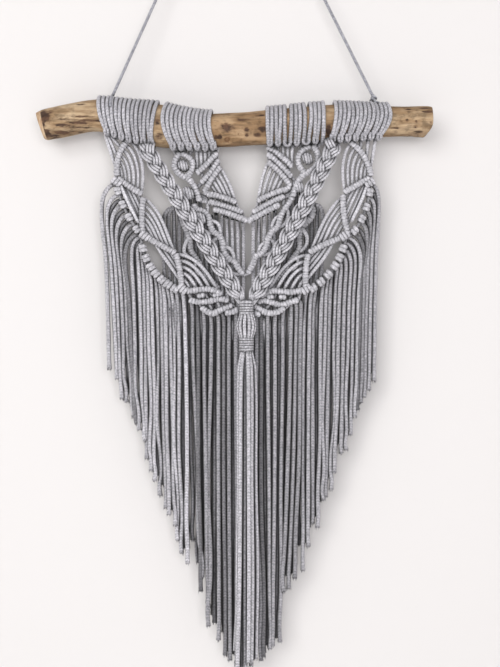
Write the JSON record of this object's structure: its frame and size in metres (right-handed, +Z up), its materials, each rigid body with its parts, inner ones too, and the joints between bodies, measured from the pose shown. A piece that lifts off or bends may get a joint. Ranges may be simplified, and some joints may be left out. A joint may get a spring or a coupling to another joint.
{
  "type": "macrame wall hanging on a branch",
  "caption": "Grey cotton macrame wall hanging knotted on a driftwood branch, with plaits, a central tassel, a long pointed fringe and a cord to hang it on a wall.",
  "frame": {"origin": "top of the hanging cord, where it lies over the nail", "axes": "+Z up, +X to the right as seen from the front, +Y towards the wall"},
  "size_m": [0.4007, 0.0527, 0.8479],
  "materials": {
    "cotton_cord": "matt braided cotton",
    "driftwood": "bare weathered wood"
  },
  "bodies": {
    "root": {"branch": "driftwood", "heading_left_outer": "cotton_cord", "heading_left_collar": "cotton_cord", "heading_right_collar": "cotton_cord", "heading_right_outer": "cotton_cord", "panel_left": "cotton_cord", "panel_right": "cotton_cord", "collar": "cotton_cord", "plait_left": "cotton_cord", "plait_right": "cotton_cord", "fringe_left_outer": "cotton_cord", "fringe_left_inner": "cotton_cord", "fringe_right_inner": "cotton_cord", "fringe_right_outer": "cotton_cord", "fringe_back": "cotton_cord", "tassel": "cotton_cord", "hanging_cord": "cotton_cord"}
  },
  "joints": []
}
